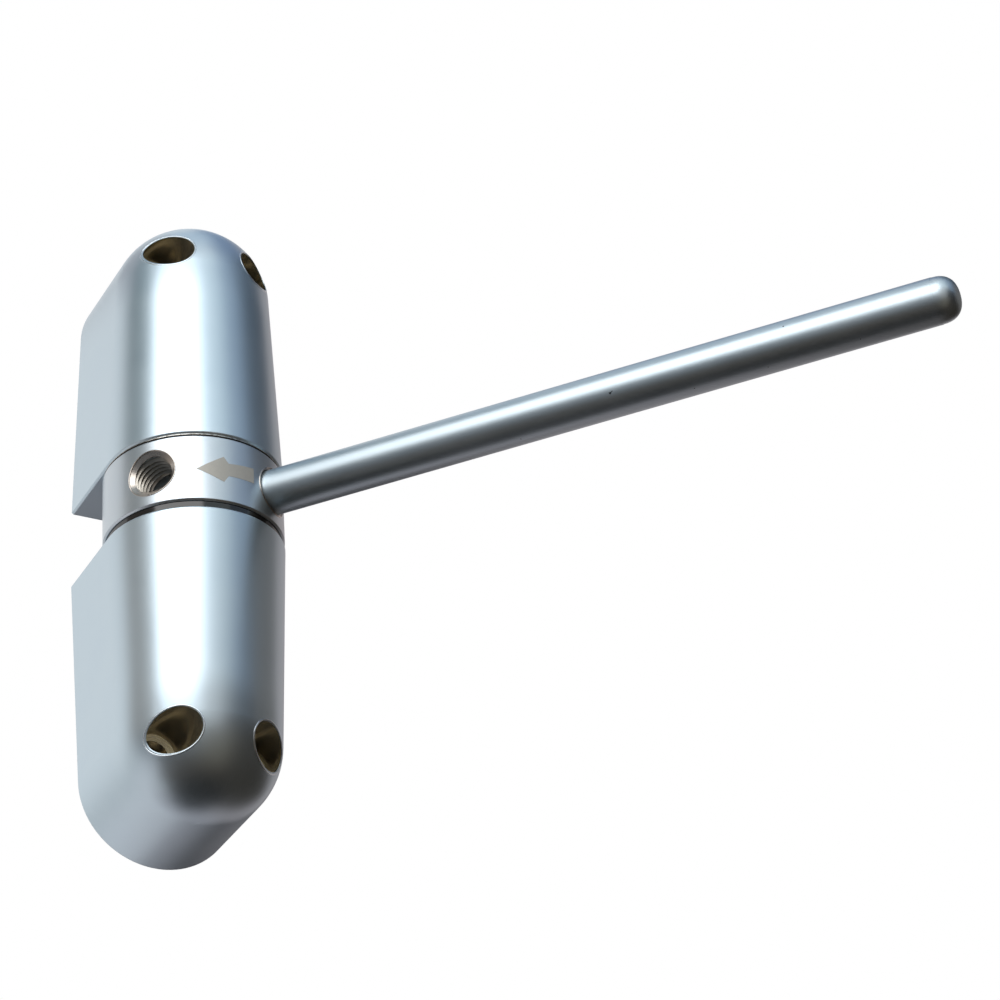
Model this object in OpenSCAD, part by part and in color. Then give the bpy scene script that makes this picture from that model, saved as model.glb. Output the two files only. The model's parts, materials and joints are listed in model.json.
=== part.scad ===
// Surface-mounted door closer: two die-cast housings, a sprung collar between
// them and a screwed-in pressure rod. The mounting plane is y = 0, the wall lies
// on the +Y side, and z = 0 is midway between the two pairs of screw holes.

/* [Housings] */
// Width of a housing at its open end
housing_w = 31.8; // [30:0.2:36]
// Length of a housing from its open end to the tip of its round end
housing_len = 52.4; // [50:0.2:58]
// Draft of the side walls and of the half-round front, in degrees
housing_draft = 2.25; // [0.5:0.25:3]
// Distance from the pivot axis to the mounting plane
axis_to_wall = 17.8; // [17:0.2:22]
// Chamfer round the open end
housing_chamfer = 0.3; // [0.2:0.1:1]
// Wall round the spring chamber at the open end
housing_wall = 3.1; // [2.7:0.1:3.6]
// Metal between the end of the axle and the screw heads
axle_web = 2.2; // [1.5:0.1:3]

/* [Cored pockets in the back] */
// Width of each pocket
core_w = 4.4; // [3:0.2:5]
// Metal left round each pocket
core_wall = 2; // [1.5:0.1:2.6]
// Distance from the open end to the near end of a pocket
core_start = 4; // [3:0.5:8]

/* [Screw holes] */
// Distance between the two screws of one housing
screw_spacing_x = 16.6; // [15:0.2:18]
// Distance between the screws of the upper and the lower housing
screw_spacing_z = 97.5; // [94:0.5:102]
// Hole for the screw's shank
screw_d = 4; // [3.5:0.1:4.5]
// Counterbore for the screw's head
head_d = 7.5; // [7:0.1:9]
// Flat ledge round the countersunk seat
seat_ledge = 1; // [0.6:0.1:1.2]
// Metal between the ledge and the mounting plane
seat_t = 18.4; // [15:0.2:20]

/* [Collar] */
// Height of the collar
collar_h = 13.2; // [11.6:0.2:15]
// How far the collar's side lies inside the housings' edge
collar_inset = 0.05; // [0:0.05:0.4]
// Chamfer of the collar's edges
collar_chamfer = 0.3; // [0.1:0.1:0.8]
// Gap between the collar and the upper housing
upper_gap = 0.4; // [0.2:0.1:1.5]
// Gap between the collar and the lower housing
lower_gap = 1.2; // [0.6:0.1:2]
// How far the thrust washers lie inside the collar's side
washer_inset = 0.45; // [0.3:0.05:1.5]
// Number of tapped holes round the collar
rod_holes = 4; // [3:1:4]
// Metal between a tapped hole and the bush
rod_hole_floor = 1.8; // [1:0.1:3]
// Depth of the plain mouth of a tapped hole
mouth_depth = 1; // [1:0.1:3]
// Radial clearance of the rod in the plain mouth
mouth_clear = 0.45; // [0.1:0.05:0.6]

/* [Pressure rod] */
// Diameter of the rod
rod_d = 8; // [6:0.5:9]
// Distance from the pivot axis to the rod's tip
rod_reach = 139.5; // [100:0.5:180]
// Direction of the rod from +X, in degrees
rod_angle = -50.5; // [-90:0.5:-20]
// Step where the rounded nose starts
nose_step = 0.1; // [0.05:0.05:0.5]
// Chamfer of the screwed end
rod_chamfer = 0.8; // [0.3:0.1:1.2]

/* [Axle, pins and bushes] */
// Diameter of the axle
axle_d = 10; // [8:0.5:10.5]
// Length of the axle held in each housing
axle_seat = 11.5; // [9:0.5:14]
// Chamfer of the axle's ends
axle_chamfer = 0.8; // [0.3:0.1:1.2]
// Wall of a bush
bush_wall = 1.5; // [1:0.1:1.8]
// Length of a bush
bush_len = 5.6; // [4:0.1:5.7]
// Diameter of the cross pins
pin_d = 3; // [2:0.1:4]
// Length of a cross pin past the axle
pin_past = 2; // [1:0.1:3]
// Depth of a cross pin below the mounting plane
pin_recess = 0.5; // [0.1:0.1:1]

/* [Springs] */
// Wire of the torsion springs
wire_d = 2.6; // [2:0.1:2.8]
// Gap between the turns of a spring
turn_gap = 0.5; // [0.45:0.05:1]
// Radial clearance of a spring in its chamber
coil_clear = 1.2; // [0.8:0.1:1.5]
// Radial clearance of a spring round its guide sleeve, taken up as it winds
guide_clear = 0.9; // [0.7:0.1:1.2]
// Length of a spring's tang in the collar and in the chamber floor
tang_len = 3.5; // [2.5:0.1:4]
// Bend radius between a tang and the coil
bend_r = 2; // [1.6:0.1:2.5]

/* [Clearances] */
// Radial gap of pieces pressed together
press_gap = 0.02; // [0.01:0.01:0.04]
// Radial gap of pieces that turn or screw in one another
run_gap = 0.04; // [0.02:0.01:0.08]
// Axial gap beside the collar and round loose pieces
seat_gap = 0.05; // [0.02:0.01:0.1]
// Radial gap of the spring tangs in their holes
tang_gap = 0.2; // [0.1:0.05:0.4]
// Gap left at the bottom of a blind hole
floor_gap = 0.4; // [0.2:0.1:1]

/* [Hidden] */
$fn = 96;
// Facets of a spring: rings in a turn, sides of the wire, steps in a bend
turn_rings = 16;
wire_sides = 8;
bend_steps = 4;
// Overshoot of cutting tools past the surface that they open
over = 1;

// Outline of a housing, with s measured from its open end towards its round end
half_w = housing_w / 2;
slope = tan(housing_draft);
end_s = (housing_len - half_w * cos(housing_draft)) / (1 - sin(housing_draft));
end_r = housing_len - end_s;
tangent_s = end_s + end_r * sin(housing_draft);
tangent_r = end_r * cos(housing_draft);
chamfer_r = half_w - slope * housing_chamfer;

// Levels along the pivot axis
half_gap = (upper_gap + collar_h + lower_gap) / 2;
collar_z = (lower_gap - upper_gap) / 2;
screw_s = screw_spacing_z / 2 - half_gap;
axle_s = screw_s - head_d / 2 - axle_web;
chamber_s = axle_s - axle_seat;
pin_s = chamber_s + axle_seat / 2;

// Radii about the pivot axis
axle_r = axle_d / 2;
bush_r = axle_r + run_gap + bush_wall;
chamber_r = half_w - housing_wall;
collar_r = half_w - collar_inset;
coil_r = chamber_r - coil_clear - wire_d / 2;
guide_r = coil_r - wire_d / 2 - guide_clear;

// Tapped holes of the collar and the end of the rod in them
rod_r = rod_d / 2;
tapped_r = rod_r + run_gap;
mouth_r = rod_r + mouth_clear;
hole_floor = bush_r + press_gap + rod_hole_floor;
rod_start = hole_floor + floor_gap;
nose_r = rod_r - nose_step;
hole_pitch = 360 / rod_holes;

// Countersunk seat of a screw
ledge_r = head_d / 2 - seat_ledge;
seat_depth = ledge_r - screw_d / 2;

// Cored pockets, clear of the chamber, the outer wall and the screw heads
core_end = screw_s - head_d / 2 - core_wall;
core_x = half_w - slope * core_end - core_wall - core_w / 2;
core_inner = core_x - core_w / 2;
core_reach = chamber_r + core_wall;
core_depth = axis_to_wall - sqrt(pow(core_reach, 2) - pow(core_inner, 2));

// Coil of a spring: its first and last level, and half turns that fit between
coil_pitch = wire_d + turn_gap;
coil_start = wire_d / 2 + seat_gap;
coil_room = chamber_s - bend_r - coil_start;
coil_turns = floor(2 * coil_room / coil_pitch) / 2;
coil_end = coil_start + coil_turns * coil_pitch;
bend_turn = bend_r / coil_r * 180 / PI;
tang_angle = rod_angle + hole_pitch / 2;
tang_end_angle = tang_angle + 2 * bend_turn + 360 * coil_turns;

// Spring path as [angle, level] pairs on the coil's cylinder, from collar to chamber floor
function bend_angle(length) = length / coil_r * 180 / PI;
function spring_path(gap) = concat(
    [[tang_angle, -gap - tang_len]],
    [for (i = [0 : bend_steps]) let (b = 90 * i / bend_steps)
        [tang_angle + bend_angle(bend_r * (1 - cos(b))), coil_start - bend_r * (1 - sin(b))]],
    [for (i = [1 : coil_turns * turn_rings])
        [tang_angle + bend_turn + 360 * i / turn_rings, coil_start + coil_pitch * i / turn_rings]],
    [for (i = [1 : bend_steps]) let (b = 90 * i / bend_steps)
        [tang_end_angle - bend_turn + bend_angle(bend_r * sin(b)), coil_end + bend_r * (1 - cos(b))]],
    [[tang_end_angle, chamber_s + tang_len]]
);
function radial(step) = [cos(step[0]), sin(step[0]), 0];
function place(step) = coil_r * radial(step) + [0, 0, step[1]];
function unit(v) = v / norm(v);
function wire_ring(path, i) = let (
        last = len(path) - 1,
        along = unit(place(path[min(i + 1, last)]) - place(path[max(i - 1, 0)])),
        out = radial(path[i]),
        side = cross(along, out)
    ) [for (k = [0 : wire_sides - 1]) let (a = 360 * k / wire_sides)
        place(path[i]) + wire_d / 2 * (cos(a) * out + sin(a) * side)];
function wire_faces(rings) = concat(
    [for (k = [1 : wire_sides - 2]) [0, k, k + 1]],
    [for (i = [0 : rings - 2], k = [0 : wire_sides - 1], half = [0, 1]) let (
            a = i * wire_sides + k,
            b = i * wire_sides + (k + 1) % wire_sides
        ) half == 0 ? [a, a + wire_sides, b] : [b, a + wire_sides, b + wire_sides]],
    [for (k = [1 : wire_sides - 2]) let (first = (rings - 1) * wire_sides)
        [first, first + k + 1, first + k]]
);
// Least gap between turns, measured on the path's points half a turn or more apart
function least_gap(points) = min([for (i = [0 : len(points) - 1])
    for (j = [i + turn_rings / 2 : 1 : len(points) - 1]) norm(points[i] - points[j])]) - wire_d;
echo(str("Least gap of a spring to itself: ",
    least_gap([for (step = spring_path(upper_gap)) place(step)]), " mm"));

// The upper housing and what it holds are drawn from its open end upwards
module at_upper() translate([0, 0, half_gap]) children();
module at_lower() mirror([0, 0, 1]) translate([0, 0, half_gap]) children();
module on_axis() translate([0, -axis_to_wall, 0]) children();
// A bore or pin that runs along Y from the mounting plane towards the front
module along_front() rotate([90, 0, 0]) children();

// Everything on the +Y side of the pivot axis
module wall_side() translate([-housing_w, 0, -over]) cube([2 * housing_w, housing_w, housing_len + 2 * over]);

// Half-round front: two cones and a ball cap on one axis
module housing_front() on_axis() difference() {
    union() {
        cylinder(h = housing_chamfer, r1 = half_w - housing_chamfer, r2 = chamfer_r);
        translate([0, 0, housing_chamfer])
            cylinder(h = tangent_s - housing_chamfer, r1 = chamfer_r, r2 = tangent_r);
        translate([0, 0, end_s]) difference() {
            sphere(r = end_r);
            translate([-housing_w, -housing_w, tangent_s - end_s - 2 * housing_w])
                cube(2 * housing_w);
        }
    }
    wall_side();
}

// Flat-sided back: the front's outline carried straight to the mounting plane
module housing_back() along_front() {
    linear_extrude(axis_to_wall) polygon([
        [half_w - housing_chamfer, 0], [chamfer_r, housing_chamfer], [tangent_r, tangent_s],
        [-tangent_r, tangent_s], [-chamfer_r, housing_chamfer], [housing_chamfer - half_w, 0]
    ]);
    translate([0, end_s, 0]) difference() {
        cylinder(h = axis_to_wall, r = end_r);
        translate([-housing_w, tangent_s - end_s - 2 * housing_w, -over])
            cube([2 * housing_w, 2 * housing_w, axis_to_wall + 2 * over]);
    }
}

// Shank hole, countersunk seat, ledge and counterbore of one screw
module screw_cut() along_front() {
    translate([0, 0, -over]) cylinder(h = seat_t + over, d = screw_d);
    translate([0, 0, seat_t - seat_depth]) cylinder(h = seat_depth, r1 = screw_d / 2, r2 = ledge_r);
    translate([0, 0, seat_t]) cylinder(h = axis_to_wall + housing_w, d = head_d);
}

// Round-ended pocket cored from the mounting plane
module core_cut() along_front() translate([0, 0, -over]) {
    height = core_depth + over;
    translate([-core_w / 2, core_start + core_w / 2, 0])
        cube([core_w, core_end - core_start - core_w, height]);
    for (s = [core_start + core_w / 2, core_end - core_w / 2])
        translate([0, s, 0]) cylinder(h = height, d = core_w);
}

module tang_cut(angle, from, depth) on_axis() rotate([0, 0, angle])
    translate([coil_r, 0, from]) cylinder(h = depth, r = wire_d / 2 + tang_gap);

module housing() difference() {
    union() {
        housing_front();
        housing_back();
    }
    on_axis() translate([0, 0, -over]) cylinder(h = chamber_s + over, r = chamber_r);
    on_axis() translate([0, 0, chamber_s - over])
        cylinder(h = axle_seat + over, r = axle_r + press_gap);
    tang_cut(tang_end_angle, chamber_s - over, tang_len + floor_gap + over);
    translate([0, over, pin_s]) along_front()
        cylinder(h = over + axis_to_wall + axle_r + pin_past + floor_gap, r = pin_d / 2 + press_gap);
    for (side = [-1, 1]) {
        translate([side * screw_spacing_x / 2, 0, screw_s]) screw_cut();
        translate([side * core_x, 0, 0]) core_cut();
    }
}
module upper_housing() color("#b9bcc4") at_upper() housing();
module lower_housing() color("#b9bcc4") at_lower() housing();

// Turned ring with radial tapped holes, drawn about its own middle
module collar_blank() {
    edge_r = collar_r - collar_chamfer;
    straight = collar_h - 2 * collar_chamfer;
    translate([0, 0, -straight / 2]) cylinder(h = straight, r = collar_r);
    for (side = [0, 1]) mirror([0, 0, side]) translate([0, 0, straight / 2])
        cylinder(h = collar_chamfer, r1 = collar_r, r2 = edge_r);
}
module rod_hole_cut() rotate([0, 90, 0]) {
    translate([0, 0, hole_floor]) cylinder(h = collar_r, r = tapped_r);
    translate([0, 0, collar_r - mouth_depth]) cylinder(h = mouth_depth + over, r = mouth_r);
}
module tension_collar() color("#c3c5ca") translate([0, 0, collar_z]) difference() {
    on_axis() difference() {
        collar_blank();
        cylinder(h = collar_h + over, r = bush_r + press_gap, center = true);
        for (i = [0 : rod_holes - 1]) rotate([0, 0, rod_angle + i * hole_pitch]) rod_hole_cut();
    }
    for (side = [0, 1]) mirror([0, 0, side])
        tang_cut(tang_angle, collar_h / 2 - tang_len - floor_gap, tang_len + floor_gap + over);
}

// Bar screwed into one tapped hole, with a rounded nose on its free end
module pressure_rod() color("#cfd1d5") translate([0, 0, collar_z]) on_axis()
    rotate([0, 0, rod_angle]) rotate([0, 90, 0]) {
        translate([0, 0, rod_start]) cylinder(h = rod_chamfer, r1 = rod_r - rod_chamfer, r2 = rod_r);
        translate([0, 0, rod_start + rod_chamfer])
            cylinder(h = rod_reach - nose_r - rod_start - rod_chamfer, r = rod_r);
        translate([0, 0, rod_reach - nose_r]) difference() {
            sphere(r = nose_r);
            translate([-rod_d, -rod_d, -2 * rod_d]) cube(2 * rod_d);
        }
    }

module axle() color("#8d9096") on_axis() for (side = [0, 1]) mirror([0, 0, side]) {
    straight = half_gap + axle_s - floor_gap - axle_chamfer;
    difference() {
        union() {
            cylinder(h = straight, r = axle_r);
            translate([0, 0, straight])
                cylinder(h = axle_chamfer, r1 = axle_r, r2 = axle_r - axle_chamfer);
        }
        translate([0, axle_d, half_gap + pin_s]) along_front()
            cylinder(h = 2 * axle_d, r = pin_d / 2 + press_gap);
    }
}

module spring(gap) on_axis() {
    path = spring_path(gap);
    rings = [for (i = [0 : len(path) - 1]) each wire_ring(path, i)];
    polyhedron(points = rings, faces = wire_faces(len(path)));
}
module upper_spring() color("#5f6468") at_upper() spring(upper_gap);
module lower_spring() color("#5f6468") at_lower() spring(lower_gap);

// Sleeve on the axle that keeps the coil straight as it winds
module spring_guide() on_axis() translate([0, 0, seat_gap]) difference() {
    cylinder(h = chamber_s - seat_gap, r = guide_r);
    translate([0, 0, -over]) cylinder(h = chamber_s + 2 * over, r = axle_r + run_gap);
}
module upper_spring_guide() color("#e4dfd2") at_upper() spring_guide();
module lower_spring_guide() color("#e4dfd2") at_lower() spring_guide();

// Ring on a housing's rim that the collar turns against
module thrust_washer(gap) on_axis() translate([0, 0, -gap + seat_gap]) difference() {
    cylinder(h = gap - seat_gap, r = collar_r - washer_inset);
    translate([0, 0, -over]) cylinder(h = gap + 2 * over, r = chamber_r);
}
module upper_thrust_washer() color("#9a9da2") at_upper() thrust_washer(upper_gap);
module lower_thrust_washer() color("#1d1d1f") at_lower() thrust_washer(lower_gap);

// Plain bush pressed into one end of the collar's bore
module bush() on_axis() translate([0, 0, collar_h / 2 - bush_len]) difference() {
    cylinder(h = bush_len, r = bush_r);
    translate([0, 0, -over]) cylinder(h = bush_len + 2 * over, r = axle_r + run_gap);
}
module upper_bush() color("#b08a4a") translate([0, 0, collar_z]) bush();
module lower_bush() color("#b08a4a") translate([0, 0, collar_z]) mirror([0, 0, 1]) bush();

// Pin driven in from the mounting face, through the axle
module axle_pin() translate([0, -pin_recess, pin_s]) along_front()
    cylinder(h = axis_to_wall + axle_r + pin_past - pin_recess, d = pin_d);
module upper_axle_pin() color("#7d8084") at_upper() axle_pin();
module lower_axle_pin() color("#7d8084") at_lower() axle_pin();

upper_housing();
lower_housing();
tension_collar();
pressure_rod();
axle();
upper_spring();
lower_spring();
upper_spring_guide();
lower_spring_guide();
upper_thrust_washer();
lower_thrust_washer();
upper_bush();
lower_bush();
upper_axle_pin();
lower_axle_pin();
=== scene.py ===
"""Surface-mounted spring door closer: finishes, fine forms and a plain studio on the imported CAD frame."""

import json
import math

import bmesh
import bpy
from bpy.props import FloatProperty, FloatVectorProperty, PointerProperty
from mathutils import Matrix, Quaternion, Vector


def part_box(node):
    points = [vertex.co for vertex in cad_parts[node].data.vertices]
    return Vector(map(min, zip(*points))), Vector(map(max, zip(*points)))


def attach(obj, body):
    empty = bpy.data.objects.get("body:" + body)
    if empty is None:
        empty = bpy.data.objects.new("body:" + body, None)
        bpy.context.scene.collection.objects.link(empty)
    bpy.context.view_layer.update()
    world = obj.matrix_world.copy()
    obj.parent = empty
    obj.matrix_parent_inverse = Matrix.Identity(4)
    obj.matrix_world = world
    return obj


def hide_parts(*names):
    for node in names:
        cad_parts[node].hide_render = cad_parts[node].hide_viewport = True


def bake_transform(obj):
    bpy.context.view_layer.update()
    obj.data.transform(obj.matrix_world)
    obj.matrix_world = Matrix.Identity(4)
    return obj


bl_info = {
    "name": "Surface-mounted door closer",
    "version": (1, 0, 0),
    "blender": (4, 5, 0),
    "location": "3D Viewport > Sidebar > Door closer",
    "description": "Finishes and fine forms of a torsion-spring door closer, with its studio",
    "category": "Object",
}

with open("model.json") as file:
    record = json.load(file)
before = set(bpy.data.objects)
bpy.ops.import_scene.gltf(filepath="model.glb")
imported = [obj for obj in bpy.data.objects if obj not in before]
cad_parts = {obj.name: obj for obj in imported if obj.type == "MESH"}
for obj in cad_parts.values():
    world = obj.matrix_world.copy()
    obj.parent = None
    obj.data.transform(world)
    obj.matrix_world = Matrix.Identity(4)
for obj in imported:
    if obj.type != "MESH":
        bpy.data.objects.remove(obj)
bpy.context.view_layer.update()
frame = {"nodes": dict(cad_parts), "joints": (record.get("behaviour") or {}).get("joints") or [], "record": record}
NODES = frame["nodes"]
JOINTS = {joint["name"]: joint for joint in frame["joints"]}
MOUNTS = {mount["name"]: mount for mount in frame["record"]["mounts"]}
MM = 0.001
UP = Vector((0, 0, 1))
FRONT = Vector((0, -1, 0))

# Places and sizes that the CAD frame gives
PIVOT = Vector(JOINTS["hub_turn"]["pos_m"])
ROD_AXIS = Vector(JOINTS["rod_unscrew"]["axis"]).normalized()
SCREWS = MOUNTS["frame_screws"]["dims"]
TAP = MOUNTS["spare_rod_hole_front"]
TAP_R = TAP["dims"]["r_mm"] * MM
TAP_LEN = TAP["dims"]["length_mm"] * MM
TAP_MID = (Vector(TAP["pos_m"]) - PIVOT).length
TAP_AXES = [Vector(MOUNTS[name]["axis"]) for name in MOUNTS if name.startswith("spare_rod_hole")]
COLLAR_R = (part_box("tension_collar")[1].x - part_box("tension_collar")[0].x) / 2
ROD_R = (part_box("pressure_rod")[1].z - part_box("pressure_rod")[0].z) / 2
ROD_START = min((v.co - PIVOT).dot(ROD_AXIS) for v in NODES["pressure_rod"].data.vertices)
ROD_END = max((v.co - PIVOT).dot(ROD_AXIS) for v in NODES["pressure_rod"].data.vertices)
SIDES = {"upper": 1, "lower": -1}

# How deep an added form reaches into the metal that carries it
EMBED = 0.05 * MM
# How far in front of a housing the rays start that look for its surface
RAY_START = 100 * MM
# Steps round a turned form, across a rim, round a bead, in a turn of a thread, round a wire,
# in a turn of a coil, in a bend, along the rod's nose, along each half of the arrow, round a pin
# and in the ledge round a screw's seat
ROUND_STEPS = 96
RIM_STEPS = 12
BEAD_SIDES = 10
THREAD_STEPS = 48
WIRE_SIDES = 14
COIL_STEPS = 40
BEND_STEPS = 8
NOSE_STEPS = 20
ARROW_STEPS = 16
PIN_STEPS = 40
LEDGE_STEPS = 3
# Degrees from the surface's normal between which the round of a bore's rim runs
RIM_ARC = (-60, 180)
# Degrees that one face of a card spans
CARD_STEP = 4
# Width of the camera's sensor in millimetres, and the nearest and farthest distance that it sees in metres
SENSOR = 36.0
CLIP = (0.01, 50.0)


def spread(start, end, steps):
    """Evenly spaced values from start to end."""
    return [start + (end - start) * i / steps for i in range(steps + 1)]


def whole_turn(steps):
    """Evenly spaced angles of one turn, the last one a step before the first."""
    return [2 * math.pi * i / steps for i in range(steps)]


def linear(hex_colour):
    """Linear RGBA of an sRGB hex colour."""
    parts = [int(hex_colour[i : i + 2], 16) / 255 for i in (1, 3, 5)]
    return (*(v / 12.92 if v <= 0.04045 else ((v + 0.055) / 1.055) ** 2.4 for v in parts), 1.0)


# A Mix node has its colours at inputs 6 and 7 and output 2, and its vectors at inputs 4 and 5 and output 1
def add(tree, kind, inputs, output=0, **settings):
    """Adds a node with its settings; an input takes a value or the socket that feeds it. Gives one output."""
    node = tree.nodes.new(f"ShaderNode{kind}")
    for name, value in settings.items():
        setattr(node, name, value)
    for key, value in inputs.items():
        if isinstance(value, bpy.types.NodeSocket):
            tree.links.new(value, node.inputs[key])
        else:
            node.inputs[key].default_value = value
    return node.outputs[output] if node.outputs else None


def tones(finish):
    """Darker and lighter colour of a finish, as they are set in the sidebar."""
    colours = bpy.context.scene.closer_finish
    return [tuple(getattr(colours, f"{finish}_{end}")) for end in ("dark", "light")]


def surface(name, colours, patch, rough, grain, metal=0.0, edge=None, detail=None):
    """Material that drifts between two colours and two roughnesses, with a fine grain.

    Colours are hex values or the name of a finish. Patch, grain (size and depth) and edge
    rounding are in millimetres. Detail is a function of the node tree, the place in the frame
    and the shader's inputs, which it may change.
    """
    made = bpy.data.materials.new(name)
    made.use_nodes = True
    tree = made.node_tree
    tree.nodes.clear()
    place = add(tree, "TexCoord", {}, "Object")
    cloud = add(tree, "TexNoise", {"Vector": place, "Scale": 1 / (patch * MM), "Detail": 3.0}, "Fac")
    fine = add(tree, "TexNoise", {"Vector": place, "Scale": 1 / (grain[0] * MM)}, "Fac")
    relief = {"Height": fine, "Distance": grain[1] * MM, "Strength": 1.0}
    if edge:
        relief["Normal"] = add(tree, "Bevel", {"Radius": edge * MM}, "Normal", samples=6)
    dark, light = tones(colours) if isinstance(colours, str) else map(linear, colours)
    ends = {0: cloud, 6: dark, 7: light}
    inputs = {
        "Base Color": add(tree, "Mix", ends, 2, data_type="RGBA"),
        "Metallic": metal,
        "Roughness": add(tree, "MapRange", {"Value": cloud, "To Min": rough[0], "To Max": rough[1]}),
        "Normal": add(tree, "Bump", relief, "Normal"),
    }
    if detail:
        detail(tree, place, inputs)
    add(tree, "OutputMaterial", {"Surface": add(tree, "BsdfPrincipled", inputs)})
    return made


def tool_marks(tree, place, inputs, axis, pitch, depth):
    """Adds uneven rings across an axis to a shader's normal; pitch and depth in millimetres."""
    patch, waver = 3.0 * MM, 0.3 * MM
    shake = add(tree, "TexNoise", {"Vector": place, "Scale": 1 / patch}, "Fac")
    along = add(tree, "VectorMath", {0: place, 1: tuple(axis)}, "Value", operation="DOT_PRODUCT")
    uneven = add(tree, "Math", {0: shake, 1: waver, 2: along}, operation="MULTIPLY_ADD")
    phase = add(tree, "Math", {0: uneven, 1: 2 * math.pi / (pitch * MM)}, operation="MULTIPLY")
    relief = {
        "Height": add(tree, "Math", {0: phase}, operation="SINE"),
        "Distance": depth / 2 * MM,
        "Strength": 1.0,
        "Normal": inputs["Normal"],
    }
    inputs["Normal"] = add(tree, "Bump", relief, "Normal")


def dots(tree, place, inputs, size, limit, colour):
    """Colours the spots where a noise of that size in millimetres passes a limit; gives their mask."""
    spots = add(tree, "TexNoise", {"Vector": place, "Scale": 1 / (size * MM), "Detail": 0.0}, "Fac")
    mask = add(tree, "Math", {0: spots, 1: limit}, operation="GREATER_THAN")
    ends = {0: mask, 6: inputs["Base Color"], 7: linear(colour)}
    inputs["Base Color"] = add(tree, "Mix", ends, 2, data_type="RGBA")
    return mask


def satin_chromed_zinc_casting():
    """Soft grey-blue sheen with fine blasted grain, a gradual turn from barrel to ball, and a dull back."""
    sizes = bpy.context.scene.closer_housing
    # Skin of the dull back and how much rougher it is, width and depth of its lumps, and the radii
    # round the pole of a ball between which the normal that is set there fades
    back_skin, back_dull = 0.05 * MM, 0.2
    lump, lump_depth = 1.2 * MM, 0.02 * MM
    pole_in, pole_out = 0.4 * MM, 0.9 * MM

    def detail(tree, place, inputs):
        height = add(tree, "VectorMath", {0: place, 1: (0, 0, 1)}, "Value", operation="DOT_PRODUCT")
        span = {
            "Value": add(tree, "Math", {0: height}, operation="ABSOLUTE"),
            "From Min": sizes.ball_z - sizes.blend,
            "From Max": sizes.ball_z + sizes.blend,
            "To Min": 1.0,
            "To Max": 0.0,
        }
        fall = add(tree, "MapRange", span, interpolation_type="SMOOTHERSTEP")
        relief = {"Height": fall, "Distance": sizes.blend_fall, "Strength": 1.0, "Normal": inputs["Normal"]}
        inputs["Normal"] = add(tree, "Bump", relief, "Normal")
        depth = add(tree, "VectorMath", {0: place, 1: (0, 1, 0)}, "Value", operation="DOT_PRODUCT")
        back = add(tree, "Math", {0: depth, 1: -back_skin}, operation="GREATER_THAN")
        dull = {0: back, 1: back_dull, 2: inputs["Roughness"]}
        inputs["Roughness"] = add(tree, "Math", dull, operation="MULTIPLY_ADD")
        lumps = add(tree, "TexNoise", {"Vector": place, "Scale": 1 / lump}, "Fac")
        relief = {"Height": lumps, "Distance": lump_depth, "Strength": back, "Normal": inputs["Normal"]}
        inputs["Normal"] = add(tree, "Bump", relief, "Normal")
        # The slivers that meet at the pole of a ball would show as a dark fleck, so its normal is set
        folded = add(tree, "VectorMath", {0: place}, operation="ABSOLUTE")
        ends = {0: folded, 1: (0, -PIVOT.y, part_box("upper_housing")[1].z)}
        apart = add(tree, "VectorMath", ends, "Value", operation="DISTANCE")
        span = {"Value": apart, "From Min": pole_in, "From Max": pole_out, "To Min": 1.0, "To Max": 0.0}
        upright = add(tree, "VectorMath", {0: place, 1: (0, 0, 1)}, operation="MULTIPLY")
        upright = add(tree, "VectorMath", {0: upright}, operation="SIGN")
        ends = {0: add(tree, "MapRange", span), 4: inputs["Normal"], 5: upright}
        inputs["Normal"] = add(tree, "Mix", ends, 1, data_type="VECTOR")

    return surface(
        "Zinc die casting, satin chromed", "casting", patch=7.0, rough=(0.36, 0.41),
        grain=(0.3, 0.0012), metal=1.0, edge=0.3, detail=detail,
    )


def polished_rim():
    """Bright worn edge that draws the thin light line round the bores."""
    return surface(
        "Zinc die casting, polished edge", ("#c9d2d8", "#d6dde2"), patch=2.0, rough=(0.22, 0.3),
        grain=(0.2, 0.0005), metal=1.0,
    )


def yellow_lining():
    """Brownish brass film in the screw bores, with a lighter, matt colour on the stepped seats that is painted
    light standing in for the light that reaches them.
    """
    seat = -bpy.context.scene.closer_housing.seat_t
    # Distances in front of the seat at which the painted light on the stepped seat starts, is full and ends
    seat_light_start, seat_light_full, seat_light_end = 0.9 * MM, 0.5 * MM, 0.1 * MM

    def detail(tree, place, inputs):
        depth = add(tree, "VectorMath", {0: place, 1: (0, 1, 0)}, "Value", operation="DOT_PRODUCT")
        # Painted light: the stepped seat gets a lighter, matt colour in place of the light that reaches it
        film = {"Value": depth, "From Min": seat - seat_light_start, "From Max": seat - seat_light_full}
        shown = add(tree, "Math", {0: depth, 1: seat - seat_light_end}, operation="LESS_THAN")
        seat_light = add(tree, "Math", {0: add(tree, "MapRange", film), 1: shown}, operation="MULTIPLY")
        inputs["Metallic"] = add(tree, "MapRange", {"Value": seat_light, "To Min": 0.9, "To Max": 0.0})
        ends = {0: seat_light, 6: inputs["Base Color"], 7: linear("#f0e4c4")}
        inputs["Base Color"] = add(tree, "Mix", ends, 2, data_type="RGBA")

    return surface(
        "Zinc die casting, yellow passivated", "film", patch=2.5, rough=(0.17, 0.26),
        grain=(0.3, 0.001), detail=detail,
    )


def turned_chromed_collar():
    """Faint turning rings across the bright satin band, drawn coarser than the real feed."""

    def detail(tree, place, inputs):
        tool_marks(tree, place, inputs, UP, pitch=0.22, depth=0.0006)

    return surface(
        "Steel, turned and satin chromed", "collar", patch=5.0, rough=(0.33, 0.38),
        grain=(0.25, 0.001), metal=1.0, edge=0.15, detail=detail,
    )


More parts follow.
